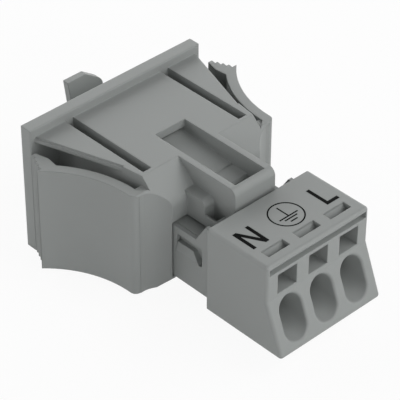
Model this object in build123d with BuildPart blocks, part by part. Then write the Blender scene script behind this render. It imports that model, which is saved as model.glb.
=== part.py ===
# Male installation connector with three poles that snaps into a panel cut-out
# X runs across the poles, +Y points to the mating side and +Z up, all in millimetres
# The origin is the centre of the flange face that bears on the panel
import os
from math import asin, cos, degrees, radians, sin, tan

from build123d import *

os.makedirs("parts", exist_ok=True)

# Poles and fits
pole_names = ("n", "pe", "l")
pole_pitch = 4.4
fit_gap = 0.05

# Flange and frame body
flange_width = 24.1
flange_height = 15.8
flange_thickness = 1.6
flange_edge_radius = 0.15
body_height = 13.9
body_inset = 0.5
body_bend_width = 16.5
body_bend_depth = 10.1
body_tail_width = 15.8
shoulder_depth = 12.6
shoulder_angle = 45
rear_wall_swell = 1.65
shoulder_blend_radius = 1.5
foot_chamfer = 1.15
plate_thickness = 0.6
plate_edge_step = 0.2

# Grooves that part the middle plate from the side plates
middle_plate_width = 12.44
groove_width = 1.14
groove_depth = 2.6
groove_ramp = 1.6

# Snap wings
wing_reach = 2.24
wing_thickness = 1.15
wing_root_gap = 1.05
wing_root_setback = 0.4
wing_heel_depth = 3.6
wing_top_drop = 1.05
wing_corner_radius = 0.75
wing_shoulder_width = 3.05
slot_end_slant = 0.8
slot_ledge_length = 1.3
slot_ledge_drop = 0.2

# Teeth of the wings
tooth_count = 4
tooth_rise = 0.27
tooth_pitch = 0.62
tooth_lean = 0.08
heel_width = 0.65
head_thickness = 0.6
head_tip_thickness = 0.2
head_length = 1.6
head_foot_length = 1.45

# Channel on top of the frame
channel_width = 5.7
channel_wall = 0.75
channel_height = 4.1
channel_end_gap = 0.56
channel_end_wall = 0.8
channel_corner_radius = 0.9
recess_lip_depth = 8.28
recess_lip_height = 0.95
recess_undercut = 0.6
recess_depth = 1.28
recess_fall = 0.64
recess_step_depth = 15.4
recess_step_drop = 0.1
well_lip_depth = 17.7
well_chamfer = 0.25
well_depth = 3.0

# Cheeks of the neck between the frame body and the terminal housing
neck_length = 6.16
neck_top_drop = 2.35
neck_step_drop = 1.65
neck_bottom_drop = 5.3
neck_step_start = 2.6
neck_wall = 1.35
neck_corner_radius = 0.8
neck_pocket_length = 1.5
neck_pocket_depth = 1.0
neck_pocket_rim = 0.2

# Mating socket of the pin carrier
socket_margin = 1.0
socket_height = 7.8
socket_wall = 0.8
socket_recess = 0.1
socket_floor_depth = 8.6
socket_step_depth = 9.4
socket_corner_radius = 0.8
socket_axis_drop = 1.8
key_rib_width = 0.9
key_rib_height = 0.5

# Core of the pin carrier, latch noses and end plate
core_wall = 0.35
core_height = 5.8
core_top_lift = 2.4
nose_top_drop = 1.1
nose_rise = 0.8
nose_catch_gap = 0.1
nose_length = 2.35
nose_height = 1.1
nose_end_slant = 1.05
nose_top_rise = 0.5
end_plate_thickness = 0.8
end_plate_rise = 3.3

# Locking lug in front of the flange
lug_reach = 3.84
lug_width = 4.6
lug_thickness = 0.8
lug_top = 6.68
lug_lean_angle = 12.6
lug_crest = 2.6
lug_shoulder_run = 1.55
lug_shoulder_fall = 1.01
lug_round_fall = 0.85

# Contacts
pin_width = 1.7
strip_thickness = 1.0
pin_recess = 5.0
earth_pin_lead = 0.6
pin_tip_chamfer = 0.3
bar_lift = 1.0
bar_jog = 1.0

# Terminal housing
block_cheek = 0.67
block_top = 4.85
block_bottom = -5.73
block_depth = 8.49
block_crease = 0.44
block_foot_reach = 2.43
block_edge_radius = 0.4
chamber_width = 2.9
chamber_depth = 6.44
chamber_roof = 1.05
chamber_floor = 0.85

# Side tongues of the terminal housing
tongue_thickness = 0.5
tongue_top = 1.35
tongue_bottom = -5.35
tongue_brace_foot = 2.84
tongue_brace_head = 1.4
tongue_brace_top = 3.67
tongue_inset = 0.8
tongue_clearance = 0.15
tongue_bar = 0.5
tongue_window_length = 3.75
tongue_window_height = 2.35
tongue_window_base = -1.85
tongue_window_radius = 0.3

# Windows, funnels, test slots and marking slit of the terminal housing
window_width = 2.69
window_height = 2.43
window_base = 0.79
funnel_width = 3.08
funnel_length = 5.22
funnel_start = 0.42
funnel_throat_width = 2.5
funnel_throat_height = 3.0
funnel_throat_drop = 3.05
funnel_mouth_radius = 0.3
test_slot_length = 3.0
test_slot_width = 1.15
test_slot_setback = 1.2
test_slot_rim = 0.25
test_slit_width = 0.5
marking_slit_height = 0.78
marking_slit_base = 3.62
marking_slit_depth = 0.6
marking_slit_margin = 0.4

# Cage-clamp springs
spring_thickness = 0.35
spring_width = 2.5
spring_rail = 0.3
spring_front_gap = 0.5
spring_loop_radius = 1.8
spring_heel_radius = 0.6
spring_loop_height = 1.7
spring_hook = 0.65
spring_eye = 2.4
spring_end_gap = 0.25

# Values that follow from the sizes above
pole_count = len(pole_names)
pole_places = [(index - (pole_count - 1) / 2) * pole_pitch for index in range(pole_count)]
body_top = body_height / 2
rear_wall_depth = shoulder_depth + wing_root_setback + wing_corner_radius + rear_wall_swell
half_flange = flange_width / 2
half_bend = body_bend_width / 2
half_tail = body_tail_width / 2
half_channel = channel_width / 2
half_block = pole_count * pole_pitch / 2 + block_cheek
half_socket = pole_count * pole_pitch / 2 + socket_margin / 2
socket_top = socket_height / 2 - socket_axis_drop
core_half = pole_places[-1] + pin_width / 2 + core_wall
core_top = core_top_lift - socket_axis_drop
tongue_inner = core_half + fit_gap
tongue_outer = tongue_inner + tongue_thickness
neck_half = half_channel + neck_wall
neck_top = body_top - neck_top_drop
neck_step_top = neck_top - neck_step_drop
neck_bottom = body_top - neck_bottom_drop
block_rear = rear_wall_depth + neck_length
block_front = block_rear + block_depth
channel_bottom = body_top - channel_height
channel_end = block_rear - channel_end_gap
wing_top = body_top - wing_top_drop
body_end_depth = shoulder_depth + wing_top_drop / tan(radians(shoulder_angle))


def export(builder, label):
    """Name a finished piece and write its file"""
    builder.part.label = label
    export_step(builder.part, f"parts/{label}.step")


# Snap-in frame: plan of the body, of one wing and of the block behind them
wing_root_x = half_tail + wing_root_gap + wing_thickness
wing_root_y = -(shoulder_depth + wing_root_setback)
wing_tip_x = half_flange + wing_reach
wing_rise = wing_tip_x - wing_root_x
wing_run = -wing_heel_depth - wing_root_y
wing_radius = (wing_rise**2 + wing_run**2) / (2 * wing_rise)
wing_inner_radius = wing_radius + wing_thickness
wing_centre = (wing_root_x + wing_radius, wing_root_y)
wing_angle = degrees(asin(wing_run / wing_radius))
head_run = tooth_count * tooth_pitch
head_x = wing_tip_x - heel_width - tooth_count * tooth_rise
head_y = -wing_heel_depth + head_run
head_inner_x = head_x - head_thickness
head_root_y = head_y - head_length
head_joint_y = head_root_y - head_foot_length
head_joint_angle = degrees(asin((head_joint_y - wing_root_y) / wing_inner_radius))


def wing_outline():
    """Closed outline of the right wing with its toothed head, drawn in plan"""
    outer = CenterArc(wing_centre, wing_radius, 180, -wing_angle)
    teeth = [outer @ 1]
    for tooth in reversed(range(tooth_count)):
        left = head_x + tooth * tooth_rise
        top = head_y - tooth * tooth_pitch
        teeth.append((left + tooth_rise, top - tooth_pitch))
        teeth.append((left + tooth_rise + tooth_lean, top))
    teeth.append((head_x, head_y))
    teeth.append((head_x - head_tip_thickness, head_y))
    teeth.append((head_inner_x, head_root_y))
    Polyline(*teeth)
    inner = CenterArc(wing_centre, wing_inner_radius, 180, -head_joint_angle)
    Line(teeth[-1], inner @ 1)
    Line(inner @ 0, outer @ 0)


with BuildPart() as frame:
    # Flange
    with BuildSketch(Plane.XZ) as flange_face:
        Rectangle(flange_width, flange_height)
    extrude(amount=-flange_thickness)
    flange_edges = frame.edges().filter_by(Axis.Y, reverse=True)
    fillet(flange_edges, flange_edge_radius)
    # Wedge-shaped body
    with BuildSketch(Plane.XY.offset(-body_top)) as body_plan:
        with BuildLine():
            Polyline(
                (0, 0),
                (half_flange - body_inset, 0),
                (half_bend, -body_bend_depth),
                (half_tail, -shoulder_depth),
                (half_tail, -body_end_depth),
                (0, -body_end_depth),
                close=True,
            )
        make_face()
        mirror(about=Plane.YZ)
    extrude(amount=body_height)
    # Side plates stand over the pockets beside the wall of the socket chamber
    with BuildSketch(Plane.XY.offset(plate_thickness - body_top)) as pocket_plan:
        with BuildLine():
            Polyline(
                (half_bend, 0),
                (half_flange, 0),
                (half_flange, -body_bend_depth),
                (half_bend, -body_bend_depth),
                close=True,
            )
        make_face()
        mirror(about=Plane.YZ)
    extrude(amount=body_height - 2 * plate_thickness, mode=Mode.SUBTRACT)
    with BuildSketch(Plane.XY.offset(body_top)) as plate_steps:
        with BuildLine():
            Polyline(
                (half_flange - body_inset, 0),
                (half_bend, -body_bend_depth),
                (half_bend - plate_edge_step, -body_bend_depth),
                (half_flange - body_inset - plate_edge_step, 0),
                close=True,
            )
        make_face()
        mirror(about=Plane.YZ)
    extrude(amount=-plate_edge_step, mode=Mode.SUBTRACT)
    # Block behind the slots, with its rounded corners and hollow rear wall
    corner_x = wing_root_x - wing_corner_radius
    corner_y = wing_root_y - wing_corner_radius
    with BuildSketch(Plane.XY.offset(-body_top)) as rear_plan:
        with BuildLine():
            slot_inner_x = wing_root_x - wing_thickness
            slot_corner = (half_tail, wing_root_y - slot_end_slant)
            start = Line((0, -shoulder_depth), (half_tail, -shoulder_depth))
            side = Line(start @ 1, slot_corner)
            slant = Line(side @ 1, (slot_inner_x, wing_root_y))
            end = Line(slant @ 1, (wing_root_x, wing_root_y))
            corner = TangentArc(end @ 1, (corner_x, corner_y), tangent=(0, -1))
            hollow = TangentArc(
                corner @ 1, (corner_x - wing_shoulder_width, -rear_wall_depth), tangent=(-1, 0)
            )
            back = Line(hollow @ 1, (0, -rear_wall_depth))
            Line(back @ 1, start @ 0)
        make_face()
        mirror(about=Plane.YZ)
    extrude(amount=body_top + wing_top)
    # Wings
    with BuildSketch(Plane.XY.offset(-body_top)) as wing_plan:
        with BuildLine():
            wing_outline()
        make_face()
        mirror(about=Plane.YZ)
    extrude(amount=body_top + wing_top)
    # Low ledges that close the ends of the slots
    ledge_end = wing_root_y - slot_end_slant
    with BuildSketch(Plane.XY.offset(-body_top)) as ledge_plan:
        with BuildLine():
            Polyline(
                (half_tail - fit_gap, ledge_end + slot_ledge_length),
                (wing_root_x - wing_corner_radius, ledge_end + slot_ledge_length),
                (wing_root_x - wing_corner_radius, ledge_end),
                (half_tail - fit_gap, ledge_end),
                close=True,
            )
        make_face()
        mirror(about=Plane.YZ)
    extrude(amount=body_top + wing_top - slot_ledge_drop)
    # Sloping shoulders above and the chamfered foot below
    slope = radians(shoulder_angle)
    blend_depth = rear_wall_depth - shoulder_blend_radius * (1 - sin(slope))
    blend_top = body_top - (blend_depth - shoulder_depth) * tan(slope)
    blend_bottom = blend_top - shoulder_blend_radius * cos(slope)
    with BuildSketch(Plane.YZ) as slopes:
        with BuildLine():
            shoulder = Line((-shoulder_depth, body_top), (-blend_depth, blend_top))
            blend = TangentArc(
                shoulder @ 1, (-rear_wall_depth, blend_bottom), tangent=shoulder % 1
            )
            Polyline(
                blend @ 1,
                (-block_rear, blend_bottom),
                (-block_rear, body_top),
                shoulder @ 0,
            )
        make_face()
        with BuildLine():
            Polyline(
                (-rear_wall_depth, -body_top),
                (-rear_wall_depth, foot_chamfer - body_top),
                (foot_chamfer - rear_wall_depth, -body_top),
                close=True,
            )
        make_face()
    extrude(amount=flange_width, both=True, mode=Mode.SUBTRACT)
    # Grooves beside the middle plate, which rise towards the shoulder
    groove_middle = (middle_plate_width + groove_width) / 2
    for side_x in (-groove_middle, groove_middle):
        with BuildSketch(Plane.YZ.offset(side_x)) as groove_side:
            with BuildLine():
                Polyline(
                    (0, body_top),
                    (0, body_top - groove_depth),
                    (-shoulder_depth + groove_ramp, body_top - groove_depth),
                    (-shoulder_depth + wing_root_setback, body_top - groove_ramp),
                    (-shoulder_depth + wing_root_setback, body_top),
                    close=True,
                )
            make_face()
        extrude(amount=groove_width / 2, both=True, mode=Mode.SUBTRACT)
    # Channel that runs over the neck to the terminal housing
    with BuildSketch(Plane.YZ) as channel_side:
        with BuildLine():
            Polyline(
                (-shoulder_depth, body_top),
                (-channel_end, body_top),
                (-channel_end, channel_bottom),
                (-shoulder_depth, channel_bottom),
                close=True,
            )
        make_face()
        end_corner = channel_side.vertices().group_by(Axis.X)[0].sort_by(Axis.Y)[-1]
        fillet(end_corner, channel_corner_radius)
    extrude(amount=half_channel, both=True)
    # Cheeks on both sides of the channel, stepped down towards the terminal housing
    neck_step = rear_wall_depth + neck_step_start
    neck_end = block_rear - fit_gap
    with BuildSketch(Plane.YZ) as neck_side:
        with BuildLine():
            Polyline(
                (-shoulder_depth, neck_bottom),
                (-shoulder_depth, neck_top),
                (-neck_step, neck_top),
                (-neck_step, neck_step_top),
                (-neck_end, neck_step_top),
                (-neck_end, neck_bottom),
                close=True,
            )
        make_face()
        step_corner = neck_side.vertices().group_by(Axis.Y)[-1].sort_by(Axis.X)[0]
        fillet(step_corner, neck_corner_radius)
    extrude(amount=neck_half, both=True)
    # Open pockets in the low part of the cheeks
    pocket_width = neck_wall - neck_pocket_rim
    with BuildSketch(Plane.XY.offset(neck_step_top)) as cheek_pockets:
        for side in (-1, 1):
            pocket_x = side * (half_channel + pocket_width / 2)
            with Locations((pocket_x, -neck_step - neck_pocket_length / 2)):
                Rectangle(pocket_width, neck_pocket_length)
    extrude(amount=-neck_pocket_depth, mode=Mode.SUBTRACT)
    # Hollow under the channel, between the cheeks
    with BuildSketch(Plane.XY.offset(neck_bottom)) as neck_hollow:
        with Locations((0, -(rear_wall_depth + channel_end - channel_end_wall) / 2)):
            Rectangle(
                2 * (half_channel - channel_wall), channel_end - channel_end_wall - rear_wall_depth
            )
    extrude(amount=channel_bottom - neck_bottom, mode=Mode.SUBTRACT)
    # Passage for the pin carrier: socket chamber, core, and room for the tongues behind it
    with BuildSketch(Plane.XZ.offset(-flange_thickness)) as chamber_face:
        with Locations((0, -socket_axis_drop)):
            Rectangle(2 * (half_socket + fit_gap), socket_height + 2 * fit_gap)
    extrude(amount=flange_thickness + socket_step_depth, mode=Mode.SUBTRACT)
    with BuildSketch(Plane.XZ.offset(socket_step_depth)) as passage_face:
        with Locations((0, core_top - core_height / 2)):
            Rectangle(2 * (core_half + fit_gap), core_height + 2 * fit_gap)
    extrude(amount=rear_wall_depth - socket_step_depth, mode=Mode.SUBTRACT)
    tongue_room = neck_bottom - tongue_bottom + tongue_clearance
    with BuildSketch(Plane.XZ.offset(rear_wall_depth)) as tongue_opening:
        with Locations((0, neck_bottom - tongue_room / 2)):
            Rectangle(2 * (tongue_outer + tongue_clearance), tongue_room)
    extrude(amount=-tongue_inset - tongue_clearance, mode=Mode.SUBTRACT)
    # Recess in the top of the channel, with a well at its far end
    recess_end = channel_end - channel_end_wall
    recess_floor = body_top - recess_depth - recess_fall
    with BuildSketch(Plane.YZ) as recess_side:
        with BuildLine():
            Polyline(
                (-recess_lip_depth, body_top),
                (-recess_lip_depth, body_top - recess_lip_height),
                (recess_undercut - recess_lip_depth, body_top - recess_lip_height),
                (recess_undercut - recess_lip_depth, body_top - recess_depth),
                (-recess_step_depth, recess_floor),
                (-recess_step_depth, recess_floor - recess_step_drop),
                (-well_lip_depth, recess_floor - recess_step_drop),
                (-well_lip_depth - well_chamfer, recess_floor - recess_step_drop - well_chamfer),
                (-well_lip_depth - well_chamfer, body_top - well_depth),
                (-recess_end, body_top - well_depth),
                (-recess_end, body_top),
                close=True,
            )
        make_face()
    extrude(amount=half_channel - channel_wall, both=True, mode=Mode.SUBTRACT)
export(frame, "snap_in_frame")

# Pin carrier: socket shell, core, latch noses, end plate and locking lug
with BuildPart() as carrier:
    # Socket shell with its floor
    with BuildSketch(Plane.XZ.offset(socket_recess - flange_thickness)) as shell_face:
        with Locations((0, -socket_axis_drop)):
            RectangleRounded(2 * half_socket, socket_height, fit_gap)
    extrude(amount=flange_thickness - socket_recess + socket_step_depth)
    with BuildSketch(Plane.XZ.offset(socket_recess - flange_thickness)) as mouth_face:
        with Locations((0, -socket_axis_drop)):
            RectangleRounded(
                2 * (half_socket - socket_wall),
                socket_height - 2 * socket_wall,
                socket_corner_radius,
            )
        with Locations((-pole_pitch / 2, socket_wall - socket_height / 2 - socket_axis_drop)):
            Rectangle(key_rib_width, 2 * key_rib_height, mode=Mode.SUBTRACT)
    extrude(amount=flange_thickness - socket_recess + socket_floor_depth, mode=Mode.SUBTRACT)
    # Core through the frame and under the cheeks of the neck
    with BuildSketch(Plane.XZ.offset(socket_step_depth)) as core_face:
        with Locations((0, core_top - core_height / 2)):
            Rectangle(2 * core_half, core_height)
    extrude(amount=block_rear - socket_step_depth)
    # Latch noses for the side tongues, with a sloping face and a slanted end
    nose_top = core_top - nose_top_drop
    nose_start = rear_wall_depth + tongue_bar + nose_catch_gap
    nose_end = nose_start + nose_length + nose_end_slant
    with BuildSketch(Plane.XZ.offset(nose_start)) as nose_face:
        with BuildLine():
            Polyline(
                (core_half, nose_top),
                (core_half + nose_top_rise, nose_top),
                (core_half + nose_rise, nose_top - nose_height),
                (core_half, nose_top - nose_height),
                close=True,
            )
        make_face()
        mirror(about=Plane.YZ)
    extrude(amount=nose_end - nose_start)
    for side in (-1, 1):
        with BuildSketch(Plane.YZ.offset(side * core_half)) as nose_slant:
            with BuildLine():
                Polyline(
                    (-nose_start - nose_length, nose_top),
                    (-nose_end, nose_top),
                    (-nose_end, nose_top - nose_height),
                    close=True,
                )
            make_face()
        extrude(amount=side * nose_rise, mode=Mode.SUBTRACT)
    # End plate that closes the chambers of the terminal housing
    with BuildSketch(Plane.XZ.offset(block_rear)) as end_plate_face:
        with Locations((0, core_top + (end_plate_rise - core_height) / 2)):
            Rectangle(2 * core_half, core_height + end_plate_rise)
    extrude(amount=end_plate_thickness)
    # Passages for the contacts
    with BuildSketch(Plane.XZ.offset(socket_floor_depth)) as strip_faces:
        for place in pole_places:
            with Locations((place, -socket_axis_drop)):
                Rectangle(pin_width + 2 * fit_gap, strip_thickness + 2 * fit_gap)
    extrude(amount=block_rear + end_plate_thickness - socket_floor_depth, mode=Mode.SUBTRACT)
    # Locking lug in front of the flange: arm, leaning plate, and its sloping right shoulder
    lug_front = flange_thickness + lug_reach
    lug_base = socket_top - socket_wall
    lug_foot = lug_front - (lug_top - socket_top) * tan(radians(lug_lean_angle))
    with BuildSketch(Plane.YZ) as lug_side:
        with BuildLine():
            Polyline(
                (flange_thickness - socket_recess, lug_base),
                (flange_thickness - socket_recess, socket_top),
                (lug_foot, socket_top),
                (lug_front, lug_top),
                (lug_front + lug_thickness, lug_top),
                (lug_foot + lug_thickness, lug_base),
                close=True,
            )
        make_face()
    extrude(amount=lug_width / 2, both=True)
    crest_end = lug_crest - lug_width / 2
    with BuildSketch(Plane.XZ.offset(-flange_thickness)) as lug_shoulder:
        with BuildLine():
            fall = Line(
                (crest_end, lug_top),
                (crest_end + lug_shoulder_run, lug_top - lug_shoulder_fall),
            )
            turn = TangentArc(
                fall @ 1,
                (lug_width / 2, lug_top - lug_shoulder_fall - lug_round_fall),
                tangent=fall % 1,
            )
            Polyline(
                turn @ 1,
                (lug_width, lug_top - lug_shoulder_fall - lug_round_fall),
                (lug_width, lug_top),
                fall @ 0,
            )
        make_face()
    extrude(amount=-lug_reach - 2 * lug_thickness, mode=Mode.SUBTRACT)
export(carrier, "pin_carrier")

# Terminal housing: block with chambers, windows, funnels, test slots and side tongues
chamber_bottom = block_bottom + chamber_floor
chamber_top = block_top - chamber_roof
chamber_front = block_rear + chamber_depth
slope_plane = Plane(
    origin=(0, -block_front, block_crease),
    x_dir=(1, 0, 0),
    z_dir=(0, block_bottom - block_crease, block_foot_reach),
)
with BuildPart() as housing:
    # Block with its sloping foot
    with BuildSketch(Plane.YZ) as block_side:
        with BuildLine():
            Polyline(
                (-block_rear, block_top),
                (-block_front, block_top),
                (-block_front, block_crease),
                (-block_front - block_foot_reach, block_bottom),
                (-block_rear, block_bottom),
                close=True,
            )
        make_face()
    extrude(amount=half_block, both=True)
    upright_edges = housing.edges().filter_by(Axis.X, reverse=True)
    outer_edges = upright_edges + housing.edges().filter_by(Axis.X).sort_by(Axis.Y)[:1]
    top_front_edge = housing.edges().filter_by(Axis.X).group_by(Axis.Z)[-1].sort_by(Axis.Y)[:1]
    front_edges = outer_edges.group_by(Axis.Y)[:-1]
    fillet([edge for group in front_edges for edge in group] + top_front_edge, block_edge_radius)
    # Side tongues braced up to the top of the block
    tongue_middle = (tongue_inner + tongue_outer) / 2
    window_middle = -rear_wall_depth - tongue_bar - tongue_window_length / 2
    for side_x in (-tongue_middle, tongue_middle):
        with BuildSketch(Plane.YZ.offset(side_x)) as tongue_side:
            with BuildLine():
                Polyline(
                    (tongue_inset - rear_wall_depth, tongue_bottom),
                    (tongue_inset - rear_wall_depth, tongue_top),
                    (tongue_brace_foot - block_rear, tongue_top),
                    (tongue_brace_head - block_rear, tongue_brace_top),
                    (-block_rear, tongue_brace_top),
                    (-block_rear, tongue_bottom),
                    close=True,
                )
            make_face()
            with Locations((window_middle, tongue_window_base + tongue_window_height / 2)):
                RectangleRounded(
                    tongue_window_length,
                    tongue_window_height,
                    tongue_window_radius,
                    mode=Mode.SUBTRACT,
                )
        extrude(amount=tongue_thickness / 2, both=True)
    # Recess for the end plate of the pin carrier
    with BuildSketch(Plane.XZ.offset(block_rear)) as end_recess:
        with Locations((0, core_top + (end_plate_rise - core_height) / 2)):
            Rectangle(
                2 * (core_half + fit_gap), core_height + end_plate_rise + 2 * fit_gap
            )
    extrude(amount=end_plate_thickness, mode=Mode.SUBTRACT)
    # Chambers, screwdriver windows and test slots, one of each for a pole
    with BuildSketch(Plane.XZ.offset(block_rear)) as chamber_faces:
        for place in pole_places:
            with Locations((place, (chamber_bottom + chamber_top) / 2)):
                Rectangle(chamber_width, chamber_top - chamber_bottom)
    extrude(amount=chamber_depth, mode=Mode.SUBTRACT)
    with BuildSketch(Plane.XZ.offset(chamber_front)) as window_faces:
        for place in pole_places:
            with Locations((place, window_base + window_height / 2)):
                Rectangle(window_width, window_height)
    extrude(amount=block_front - chamber_front, mode=Mode.SUBTRACT)
    slot_front = block_front - test_slot_setback
    for place in pole_places:
        with BuildSketch(Plane.YZ.offset(place)) as slot_side:
            with BuildLine():
                Polyline(
                    (test_slot_width - slot_front, block_top),
                    (test_slot_width - slot_front, block_top - test_slot_rim),
                    (test_slit_width - slot_front, block_top - chamber_roof),
                    (-slot_front, block_top - chamber_roof),
                    (-slot_front, block_top),
                    close=True,
                )
            make_face()
            with Locations((test_slit_width / 2 - slot_front, block_top - chamber_roof)):
                Rectangle(test_slit_width, chamber_roof)
        extrude(amount=test_slot_length / 2, both=True, mode=Mode.SUBTRACT)
    # Marking slit across the front
    with BuildSketch(Plane.XZ.offset(block_front)) as slit_face:
        with Locations((0, marking_slit_base + marking_slit_height / 2)):
            Rectangle(2 * (half_block - marking_slit_margin), marking_slit_height)
    extrude(amount=-marking_slit_depth, mode=Mode.SUBTRACT)
    # Wire funnels from the sloping foot into the chambers
    throat_centre = block_crease - funnel_throat_drop
    for place in pole_places:
        with BuildSketch(slope_plane) as funnel_mouth:
            with Locations((place, -funnel_start - funnel_length / 2)):
                SlotOverall(funnel_length, funnel_width, rotation=90)
        with BuildSketch(Plane.XZ.offset(chamber_front)) as funnel_throat:
            with Locations((place, throat_centre)):
                SlotOverall(funnel_throat_height, funnel_throat_width, rotation=90)
        loft(
            sections=[funnel_mouth.sketch.face(), funnel_throat.sketch.face()],
            mode=Mode.SUBTRACT,
        )
    slope_face = housing.faces().filter_by(slope_plane)[0]
    fillet(slope_face.inner_wires().edges(), funnel_mouth_radius)
export(housing, "terminal_housing")

# Contacts: pin, strip through the neck and raised current bar under the clamp
bar_start = block_rear + end_plate_thickness
spring_front = chamber_front - spring_front_gap - spring_thickness
bar_end = chamber_front - fit_gap
bar_bottom = bar_lift - socket_axis_drop - strip_thickness / 2
bar_top = bar_bottom + strip_thickness
for name, place in zip(pole_names, pole_places):
    earth_lead = earth_pin_lead if name == "pe" else 0
    pin_tip = pin_recess - flange_thickness - earth_lead
    with BuildPart() as contact:
        with BuildSketch(Plane.YZ.offset(place)) as strip_side:
            with BuildLine():
                strip_base = -socket_axis_drop - strip_thickness / 2
                strip_line = [
                    (-pin_tip, strip_base),
                    (-bar_start, strip_base),
                    (-bar_start - bar_jog, bar_bottom),
                    (-bar_end, bar_bottom),
                ]
                upper_line = [(y, z + strip_thickness) for y, z in reversed(strip_line)]
                Polyline(*strip_line, *upper_line, close=True)
            make_face()
        extrude(amount=pin_width / 2, both=True)
        tip_edges = contact.faces().sort_by(Axis.Y)[-1].edges()
        chamfer(tip_edges, pin_tip_chamfer)
    export(contact, f"contact_{name}")

# Cage-clamp springs: foot on the bar, heel, loop, and front leg with the eye for bar and wire
for name, place in zip(pole_names, pole_places):
    spring_line_y = -spring_front - spring_thickness / 2
    loop_base = bar_top + spring_loop_height
    spring_back_y = spring_line_y + 2 * spring_loop_radius
    foot_z = bar_top + spring_thickness / 2
    with BuildPart() as spring:
        with BuildSketch(Plane.YZ.offset(place)) as spring_side:
            with BuildLine():
                foot = Line(
                    (spring_line_y + spring_end_gap + spring_thickness / 2, foot_z),
                    (spring_back_y - spring_heel_radius, foot_z),
                )
                heel = TangentArc(
                    foot @ 1, (spring_back_y, foot_z + spring_heel_radius), tangent=(1, 0)
                )
                rise = Line(heel @ 1, (spring_back_y, loop_base))
                loop = TangentArc(rise @ 1, (spring_line_y, loop_base), tangent=(0, 1))
                Line(loop @ 1, (spring_line_y, bar_bottom - spring_hook))
            trace(line_width=spring_thickness)
        extrude(amount=spring_width / 2, both=True)
        with BuildSketch(Plane.XZ.offset(spring_front)) as eye_face:
            with Locations((place, bar_bottom + spring_eye / 2)):
                Rectangle(spring_width - 2 * spring_rail, spring_eye)
        extrude(amount=spring_thickness, mode=Mode.SUBTRACT)
    export(spring, f"clamp_spring_{name}")
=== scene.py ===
from math import pi, radians

import bpy
import numpy as np
from mathutils import Matrix, Vector


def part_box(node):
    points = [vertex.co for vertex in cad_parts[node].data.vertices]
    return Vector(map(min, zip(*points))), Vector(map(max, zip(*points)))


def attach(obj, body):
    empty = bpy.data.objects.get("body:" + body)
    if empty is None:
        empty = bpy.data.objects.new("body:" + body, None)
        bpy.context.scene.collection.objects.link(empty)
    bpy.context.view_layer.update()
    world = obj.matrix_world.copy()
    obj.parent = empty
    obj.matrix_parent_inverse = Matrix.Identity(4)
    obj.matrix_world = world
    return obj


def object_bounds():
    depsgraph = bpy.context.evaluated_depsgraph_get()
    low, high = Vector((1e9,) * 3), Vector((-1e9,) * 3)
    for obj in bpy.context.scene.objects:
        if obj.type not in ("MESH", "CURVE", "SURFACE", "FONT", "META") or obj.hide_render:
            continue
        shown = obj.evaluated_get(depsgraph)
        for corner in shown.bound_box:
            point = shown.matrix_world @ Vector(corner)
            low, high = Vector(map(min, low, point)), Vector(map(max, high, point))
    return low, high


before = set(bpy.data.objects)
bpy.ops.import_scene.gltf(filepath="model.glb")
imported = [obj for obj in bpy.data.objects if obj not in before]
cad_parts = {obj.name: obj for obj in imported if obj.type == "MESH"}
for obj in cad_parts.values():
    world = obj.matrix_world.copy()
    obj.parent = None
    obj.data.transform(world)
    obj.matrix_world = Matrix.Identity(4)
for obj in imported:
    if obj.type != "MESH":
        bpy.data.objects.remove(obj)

cad_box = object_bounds()

# Snap-in frame: the flange, wedge body, toothed wings and channel are one moulding in grey
# glass-filled nylon. The tool was spark eroded, so the skin is matt with a very fine grain,
# and every outer edge keeps the small radius of the cutter
MM = 0.001
GREY_NYLON = (0.293, 0.306, 0.3)
GREY_NYLON_FLOW = (0.281, 0.295, 0.289)
EDGE_RADIUS = 0.16 * MM
GRAIN_SIZE = 0.11 * MM
GRAIN_HEIGHT = 0.0022 * MM
FLOW_SIZE = 6.5 * MM
FLOW_DETAIL = 3
GRAIN_DETAIL = 2
EDGE_SAMPLES = 8
NYLON_ROUGHNESS = 0.52
NYLON_SPECULAR = 0.35
ROUGHNESS_SPREAD = 0.1


class Strand:
    """One shader output: arithmetic on it adds Math nodes, and node() adds any other node"""

    # The numbers of the Mix node's colour sockets: its two inputs and its result
    LOW, HIGH, MIXED = 6, 7, 2

    def __init__(self, tree, socket=None):
        self.tree, self.socket = tree, socket

    def node(self, kind, settings=None, inputs=None, output=0):
        """A node of that type, its settings first, then the values or links of its sockets"""
        made = self.tree.nodes.new("ShaderNode" + kind)
        for name, value in (settings or {}).items():
            setattr(made, name, value)
        for name, value in (inputs or {}).items():
            if isinstance(value, Strand):
                self.tree.links.new(value.socket, made.inputs[name])
            else:
                made.inputs[name].default_value = value
        return Strand(self.tree, made.outputs[output])

    def __add__(self, other):
        return self.node("Math", {"operation": "ADD"}, {0: self, 1: other})

    def __mul__(self, other):
        return self.node("Math", {"operation": "MULTIPLY"}, {0: self, 1: other})

    def __or__(self, other):
        return self.node("Math", {"operation": "MAXIMUM"}, {0: self, 1: other})

    __radd__ = __add__
    __rmul__ = __mul__
    __ror__ = __or__

    def blend(self, low, high):
        """The colour low where this is 0 and high where it is 1"""
        ends = {self.LOW: (*low, 1), self.HIGH: (*high, 1)}
        return self.node("Mix", {"data_type": "RGBA"}, {0: self, **ends}, self.MIXED)


def new_finish(name):
    """An empty material with one surface shader: its first strand and the shader node"""
    material = bpy.data.materials.new(name)
    material.use_nodes = True
    tree = material.node_tree
    return material, Strand(tree), tree.nodes["Principled BSDF"]


def feed(shader, **values):
    """Sets or links sockets of the surface shader, with _ for each space in a name"""
    for name, value in values.items():
        socket = shader.inputs[name.replace("_", " ")]
        if isinstance(value, Strand):
            value.tree.links.new(value.socket, socket)
        else:
            socket.default_value = value


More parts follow.
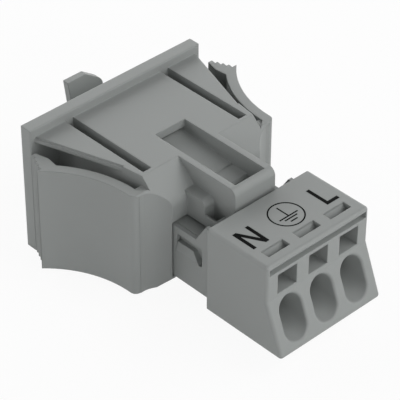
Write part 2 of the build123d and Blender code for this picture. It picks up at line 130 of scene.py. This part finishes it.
def moulded(name, base, flow):
    """Moulded plastic: slow flow clouds in colour and gloss, eroded grain and rounded edges"""
    material, start, shader = new_finish(name)
    place = start.node("TexCoord", output="Object")
    clouds = start.node("TexNoise", inputs={
        "Vector": place, "Scale": 1 / FLOW_SIZE, "Detail": FLOW_DETAIL,
    })
    grain = start.node("TexNoise", inputs={
        "Vector": place, "Scale": 1 / GRAIN_SIZE, "Detail": GRAIN_DETAIL,
    })
    rounded = start.node("Bevel", {"samples": EDGE_SAMPLES}, {"Radius": EDGE_RADIUS})
    skin = start.node("Bump", inputs={
        "Strength": 1.0, "Distance": GRAIN_HEIGHT, "Height": grain, "Normal": rounded,
    })
    gloss = clouds * ROUGHNESS_SPREAD + (NYLON_ROUGHNESS - ROUGHNESS_SPREAD / 2)
    feed(shader, Base_Color=clouds.blend(flow, base), Roughness=gloss)
    feed(shader, Normal=skin, Specular_IOR_Level=NYLON_SPECULAR)
    return material


def dress(material, *names):
    """Gives CAD nodes their finish"""
    for name in names:
        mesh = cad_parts[name].data
        mesh.materials.clear()
        mesh.materials.append(material)


dress(moulded("grey_nylon", GREY_NYLON, GREY_NYLON_FLOW), "snap_in_frame")

# Pin carrier and terminal housing: two more mouldings from the same grey granulate, so they
# differ from the frame only by the batch. The carrier's core, latch noses and lug show, and
# so do the housing's block and its two latched side tongues
CARRIER_GREY = (0.29, 0.304, 0.298)
CARRIER_GREY_FLOW = (0.279, 0.293, 0.287)
carrier_nylon = moulded("carrier_nylon", CARRIER_GREY, CARRIER_GREY_FLOW)
dress(carrier_nylon, "pin_carrier")
dress(moulded("housing_nylon", GREY_NYLON, GREY_NYLON_FLOW), "terminal_housing")

# Core roof of the carrier: a flat top that brings its core level with the side tongues, seen
# in the corners under the frame's cheeks. It is moulded with the carrier, and runs from the
# frame's opening for the tongues to the end plate at the terminal block
CORE_SIDE = 5.6 * MM
CORE_TOP = 0.6 * MM
ROOF_TOP = 1.4 * MM
ROOF_REAR, ROOF_FRONT = 14.6 * MM, 21.56 * MM
ROOF_RADIUS = 0.1 * MM
ROOF_STEPS = 6


def piece(name, mesh, material):
    """An object of the connector's one body with its finish and the record's slot"""
    mesh.materials.append(material)
    made = bpy.data.objects.new(name, mesh)
    bpy.context.scene.collection.objects.link(made)
    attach(made, "root")
    return made


def drawn_through(outline, start, end):
    """A closed form: the outline's points at start and at end of the third axis, and walls"""
    outline = np.asarray(outline, float)
    count = len(outline)
    following = np.roll(outline, -1, 0)
    if np.sum(outline[:, 0] * following[:, 1] - following[:, 0] * outline[:, 1]) < 0:
        outline = outline[::-1]
    first = np.column_stack([outline, np.full(count, start)])
    last = np.column_stack([outline, np.full(count, end)])
    ring = np.arange(count)
    after = (ring + 1) % count
    walls = np.column_stack([ring, after, after + count, ring + count]).tolist()
    return np.vstack([first, last]), [ring[::-1].tolist(), (ring + count).tolist()] + walls


def core_roof():
    """A flat bar with two rounded upper edges, each a quarter circle, drawn along the core"""
    angle = np.linspace(0, pi / 2, ROOF_STEPS)
    across = CORE_SIDE - ROOF_RADIUS + ROOF_RADIUS * np.cos(angle)
    up = ROOF_TOP - ROOF_RADIUS + ROOF_RADIUS * np.sin(angle)
    right = np.column_stack([across, up])
    left = np.column_stack([-across, up])[::-1]
    outline = np.vstack([[(CORE_SIDE, CORE_TOP)], right, left, [(-CORE_SIDE, CORE_TOP)]])
    points, faces = drawn_through(outline, ROOF_REAR, ROOF_FRONT)
    mesh = bpy.data.meshes.new("core_roof")
    mesh.from_pydata((points[:, [0, 2, 1]] * (1, -1, 1)).tolist(), [], faces)
    return mesh


piece("core_roof", core_roof(), carrier_nylon)

# Contacts: stamped from a copper alloy strip and tin plated, so they are pale and a little
# cloudy, with fine rolling lines along the strip and edges broken by the punch
TIN = (0.74, 0.73, 0.7)
TIN_DULL = (0.62, 0.61, 0.58)
TIN_ROUGHNESS = 0.34
ROLLING_LINE = 0.05 * MM
ROLLING_STRETCH = 40
ROLLING_DETAIL = 2
ROLLING_STRENGTH = 0.6
ROLLING_SPREAD = 0.12
PLATING_DETAIL = 4
PUNCHED_EDGE = 0.06 * MM
PUNCHED_SAMPLES = 6


def rolled_metal(name, bright, dull, roughness, along):
    """Bare rolled metal: cloudy plating and fine lines drawn out along one axis"""
    material, start, shader = new_finish(name)
    place = start.node("TexCoord", output="Object")
    stretch = [1 / ROLLING_LINE] * 3
    stretch[along] /= ROLLING_STRETCH
    drawn_out = start.node("VectorMath", {"operation": "MULTIPLY"}, {0: place, 1: stretch})
    lines = start.node("TexNoise", inputs={
        "Vector": drawn_out, "Scale": 1.0, "Detail": ROLLING_DETAIL,
    })
    clouds = start.node("TexNoise", inputs={
        "Vector": place, "Scale": 1 / FLOW_SIZE, "Detail": PLATING_DETAIL,
    })
    rounded = start.node("Bevel", {"samples": PUNCHED_SAMPLES}, {"Radius": PUNCHED_EDGE})
    skin = start.node("Bump", inputs={
        "Strength": ROLLING_STRENGTH, "Distance": GRAIN_HEIGHT, "Height": lines, "Normal": rounded,
    })
    feed(shader, Base_Color=clouds.blend(dull, bright), Metallic=1.0, Normal=skin)
    least = roughness - (ROLLING_SPREAD + ROUGHNESS_SPREAD) / 2
    feed(shader, Roughness=lines * ROLLING_SPREAD + clouds * ROUGHNESS_SPREAD + least)
    return material


tin = rolled_metal("tinned_copper", TIN, TIN_DULL, TIN_ROUGHNESS, along=1)
dress(tin, "contact_n", "contact_pe", "contact_l")

# Clamp springs: folded from stainless spring strip, brighter than the tin, with the rolling
# lines running round the loop
STAINLESS = (0.55, 0.54, 0.52)
STAINLESS_DULL = (0.42, 0.41, 0.39)
STAINLESS_ROUGHNESS = 0.27
steel = rolled_metal("stainless_spring", STAINLESS, STAINLESS_DULL, STAINLESS_ROUGHNESS, along=2)
dress(steel, "clamp_spring_n", "clamp_spring_pe", "clamp_spring_l")

# Pole marks: N, earth and L pad-printed in black on top of the terminal housing, to be read
# from the wire side. The ink film stands a few microns proud of the plastic
HOUSING_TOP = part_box("terminal_housing")[1].z
INK_FILM = 0.012 * MM
INK_SINK = 0.02 * MM
INK = (0.002, 0.0024, 0.0022)
INK_THIN = (0.0036, 0.004, 0.0038)
INK_ROUGHNESS = 0.6
INK_SPECULAR = 0.03
INK_PATCH = 0.5 * MM
MARK_REAR = -23.9 * MM
MARK_FRONT = -26.97 * MM
LETTER_STROKE = 0.43 * MM
SLANT_STROKE = 0.5 * MM
N_LEFT, N_RIGHT = -6.1 * MM, -3.9 * MM
L_LEFT, L_RIGHT = 4.4 * MM, 6.17 * MM
EARTH_CENTRE = (0.24 * MM, -25.2 * MM)
EARTH_RADIUS = 1.9 * MM
EARTH_LINE = 0.16 * MM
EARTH_STEM_TOP = -23.83 * MM
EARTH_BARS = np.array(((-1.05, 1.52, -25.54), (-0.64, 1.1, -25.9), (-0.26, 0.7, -26.35))) * MM
RING_STEPS = 96


def slab(outline):
    """The closed film over an outline, from the ink's foot to its face"""
    return drawn_through(outline, HOUSING_TOP - INK_SINK, HOUSING_TOP + INK_FILM)


def letter_n():
    """The outline of N: two posts, and a slant whose edges are straight lines between them"""
    run = N_RIGHT - N_LEFT - SLANT_STROKE
    fall = MARK_FRONT - MARK_REAR
    low = MARK_REAR + fall * LETTER_STROKE / run
    high = MARK_REAR + fall * (run - LETTER_STROKE) / run
    left_post, right_post = N_LEFT + LETTER_STROKE, N_RIGHT - LETTER_STROKE
    return [(N_LEFT, MARK_FRONT), (left_post, MARK_FRONT), (left_post, low),
            (N_RIGHT - SLANT_STROKE, MARK_FRONT), (N_RIGHT, MARK_FRONT), (N_RIGHT, MARK_REAR),
            (right_post, MARK_REAR), (right_post, high), (N_LEFT + SLANT_STROKE, MARK_REAR),
            (N_LEFT, MARK_REAR)]


def letter_l():
    """The outline of L: one post and one foot"""
    post, foot = L_LEFT + LETTER_STROKE, MARK_FRONT + LETTER_STROKE
    return [(L_LEFT, MARK_REAR), (post, MARK_REAR), (post, foot),
            (L_RIGHT, foot), (L_RIGHT, MARK_FRONT), (L_LEFT, MARK_FRONT)]


def earth_bars():
    """The outlines inside the ring: the stem on the longest bar, then the two shorter bars"""
    half = EARTH_LINE / 2
    left, right, y = EARTH_BARS[0]
    stem_left, stem_right = EARTH_CENTRE[0] - half, EARTH_CENTRE[0] + half
    first = [(left, y - half), (right, y - half), (right, y + half), (stem_right, y + half),
             (stem_right, EARTH_STEM_TOP), (stem_left, EARTH_STEM_TOP), (stem_left, y + half),
             (left, y + half)]
    return [first] + [[(left, y - half), (right, y - half), (right, y + half), (left, y + half)]
                      for left, right, y in EARTH_BARS[1:]]


def annulus(centre, radius, width):
    """A closed ring film: four circles of points, inner and outer, at its foot and its face"""
    angle = np.linspace(0, 2 * pi, RING_STEPS, endpoint=False)
    levels = (HOUSING_TOP - INK_SINK, HOUSING_TOP + INK_FILM)
    circles = [(radius + width / 2, levels[0]), (radius + width / 2, levels[1]),
               (radius - width / 2, levels[1]), (radius - width / 2, levels[0])]
    points = [np.column_stack([centre[0] + r * np.cos(angle), centre[1] + r * np.sin(angle),
                               np.full(RING_STEPS, z)]) for r, z in circles]
    ring = np.arange(RING_STEPS)
    after = (ring + 1) % RING_STEPS
    faces = []
    for low in range(len(circles)):
        high = (low + 1) % len(circles)
        faces += np.column_stack([ring + low * RING_STEPS, after + low * RING_STEPS,
                                  after + high * RING_STEPS, ring + high * RING_STEPS]).tolist()
    return np.vstack(points), faces


def printed(name, films, material):
    """One mark from its films, as a piece on the root body"""
    points, faces, offset = [], [], 0
    for film_points, film_faces in films:
        points.append(film_points)
        faces += [[corner + offset for corner in face] for face in film_faces]
        offset += len(film_points)
    mesh = bpy.data.meshes.new(name)
    mesh.from_pydata(np.vstack(points).tolist(), [], faces)
    mesh.validate()
    return piece(name, mesh, material)


def ink_finish(name):
    """Pad-printing ink: near black, a little thinner in places, with a dull film gloss"""
    material, start, shader = new_finish(name)
    place = start.node("TexCoord", output="Object")
    cover = start.node("TexNoise", inputs={
        "Vector": place, "Scale": 1 / INK_PATCH, "Detail": FLOW_DETAIL,
    })
    gloss = cover * ROUGHNESS_SPREAD + (INK_ROUGHNESS - ROUGHNESS_SPREAD / 2)
    feed(shader, Base_Color=cover.blend(INK, INK_THIN), Roughness=gloss)
    feed(shader, Specular_IOR_Level=INK_SPECULAR)
    return material


ink = ink_finish("print_ink")
printed("print_n", [slab(letter_n())], ink)
printed("print_l", [slab(letter_l())], ink)
earth_ring = annulus(EARTH_CENTRE, EARTH_RADIUS, EARTH_LINE)
printed("print_earth", [earth_ring] + [slab(bar) for bar in earth_bars()], ink)

# Studio: a white sweep that keeps only a faint shadow, and a ring of large soft lamps. Most
# stand low, so that tops and the wire side are lightest and every recess falls off in depth.
# Each lamp is its azimuth and elevation in degrees, and its level
scene = bpy.context.scene
scene.view_settings.view_transform = "Standard"
LAMP_DISTANCE = 0.42
LAMP_SIZE = 0.3
LAMPS = ((0, 18, 0.25), (0, 45, 0.13), (45, 45, 0.4), (90, 18, 0.12), (135, 18, 0.28),
         (180, 18, 0.44), (225, 18, 0.3), (315, 18, 0.19))
FLOOR_SIDE = 3.0
FLOOR_WHITE = 0.9
FLOOR_ROUGHNESS = 0.9
FLOOR_GAP = 0.03 * MM
SHADOW_SHARE = 0.07


def seen_directly(start):
    """1 for rays from the camera or through a mirror or glass, otherwise 0"""
    straight = start.node("LightPath", output="Is Camera Ray")
    mirrored = start.node("LightPath", output="Is Glossy Ray")
    through = start.node("LightPath", output="Is Transmission Ray")
    return straight | mirrored | through


room = bpy.data.worlds.new("white_room")
room.use_nodes = True
room_tree = room.node_tree
backdrop = room_tree.nodes["Background"]
room_tree.links.new(seen_directly(Strand(room_tree)).socket, backdrop.inputs["Strength"])
backdrop.inputs["Color"].default_value = (1, 1, 1, 1)
scene.world = room

sweep_mesh = bpy.data.meshes.new("sweep")
side = FLOOR_SIDE / 2
floor_z = cad_box[0].z - FLOOR_GAP
corners = [(x, y, floor_z) for x, y in ((-side, -side), (side, -side), (side, side), (-side, side))]
sweep_mesh.from_pydata(corners, [], [(0, 1, 2, 3)])
sweep = bpy.data.objects.new("sweep", sweep_mesh)
scene.collection.objects.link(sweep)
sweep_paper, sweep_start, sweep_shader = new_finish("sweep_paper")
feed(sweep_shader, Base_Color=(*[FLOOR_WHITE] * 3, 1), Roughness=FLOOR_ROUGHNESS)
glow = sweep_start.node("Emission", inputs={"Color": (1, 1, 1, 1), "Strength": 1.0})
paper = Strand(sweep_start.tree, sweep_shader.outputs[0])
white = seen_directly(sweep_start) * (1 - SHADOW_SHARE)
shown = sweep_start.node("MixShader", inputs={0: white, 1: paper, 2: glow})
sweep_out = sweep_start.tree.nodes["Material Output"].inputs["Surface"]
sweep_start.tree.links.new(shown.socket, sweep_out)
sweep_mesh.materials.append(sweep_paper)

middle = (cad_box[0] + cad_box[1]) / 2
for number, (azimuth, elevation, level) in enumerate(LAMPS, 1):
    lamp = bpy.data.lights.new(f"soft_lamp_{number}", "AREA")
    lamp.shape = "DISK"
    lamp.size = LAMP_SIZE
    lamp.energy = level * pi**2 * LAMP_DISTANCE**2
    stand = bpy.data.objects.new(lamp.name, lamp)
    scene.collection.objects.link(stand)
    turn = Matrix.Rotation(radians(azimuth), 4, "Z")
    turn = turn @ Matrix.Rotation(radians(90 - elevation), 4, "X")
    away = Matrix.Translation((0, 0, LAMP_DISTANCE))
    stand.matrix_world = Matrix.Translation(middle) @ turn @ away

# Camera: a bench view from the wire side and the left, a long lens about 0.2 m from the part.
# The picture is square, 400 by 400
CAMERA_AZIMUTH = radians(-43.587)
CAMERA_ELEVATION = radians(37.577)
CAMERA_ROLL = radians(0.201)
CAMERA_DISTANCE = 217.712 * MM
AIM = Vector((0, -15.4, 0)) * MM
SHIFT_RIGHT, SHIFT_UP = -1.741 * MM, 1.022 * MM
PICTURE_SIDE = 400
FOCAL_PIXELS = 2081.258
SENSOR_WIDTH = 36
NEAREST_SEEN = 10 * MM
camera = bpy.data.cameras.new("camera")
camera.sensor_width = SENSOR_WIDTH
camera.lens = FOCAL_PIXELS / PICTURE_SIDE * SENSOR_WIDTH
camera.clip_start = NEAREST_SEEN
camera_turn = Matrix.Rotation(CAMERA_AZIMUTH, 4, "Z")
camera_turn = camera_turn @ Matrix.Rotation(pi / 2 - CAMERA_ELEVATION, 4, "X")
camera_turn = camera_turn @ Matrix.Rotation(CAMERA_ROLL, 4, "Z")
viewer = bpy.data.objects.new("camera", camera)
scene.collection.objects.link(viewer)
offset = Matrix.Translation((SHIFT_RIGHT, SHIFT_UP, CAMERA_DISTANCE))
viewer.matrix_world = Matrix.Translation(AIM) @ camera_turn @ offset
scene.camera = viewer
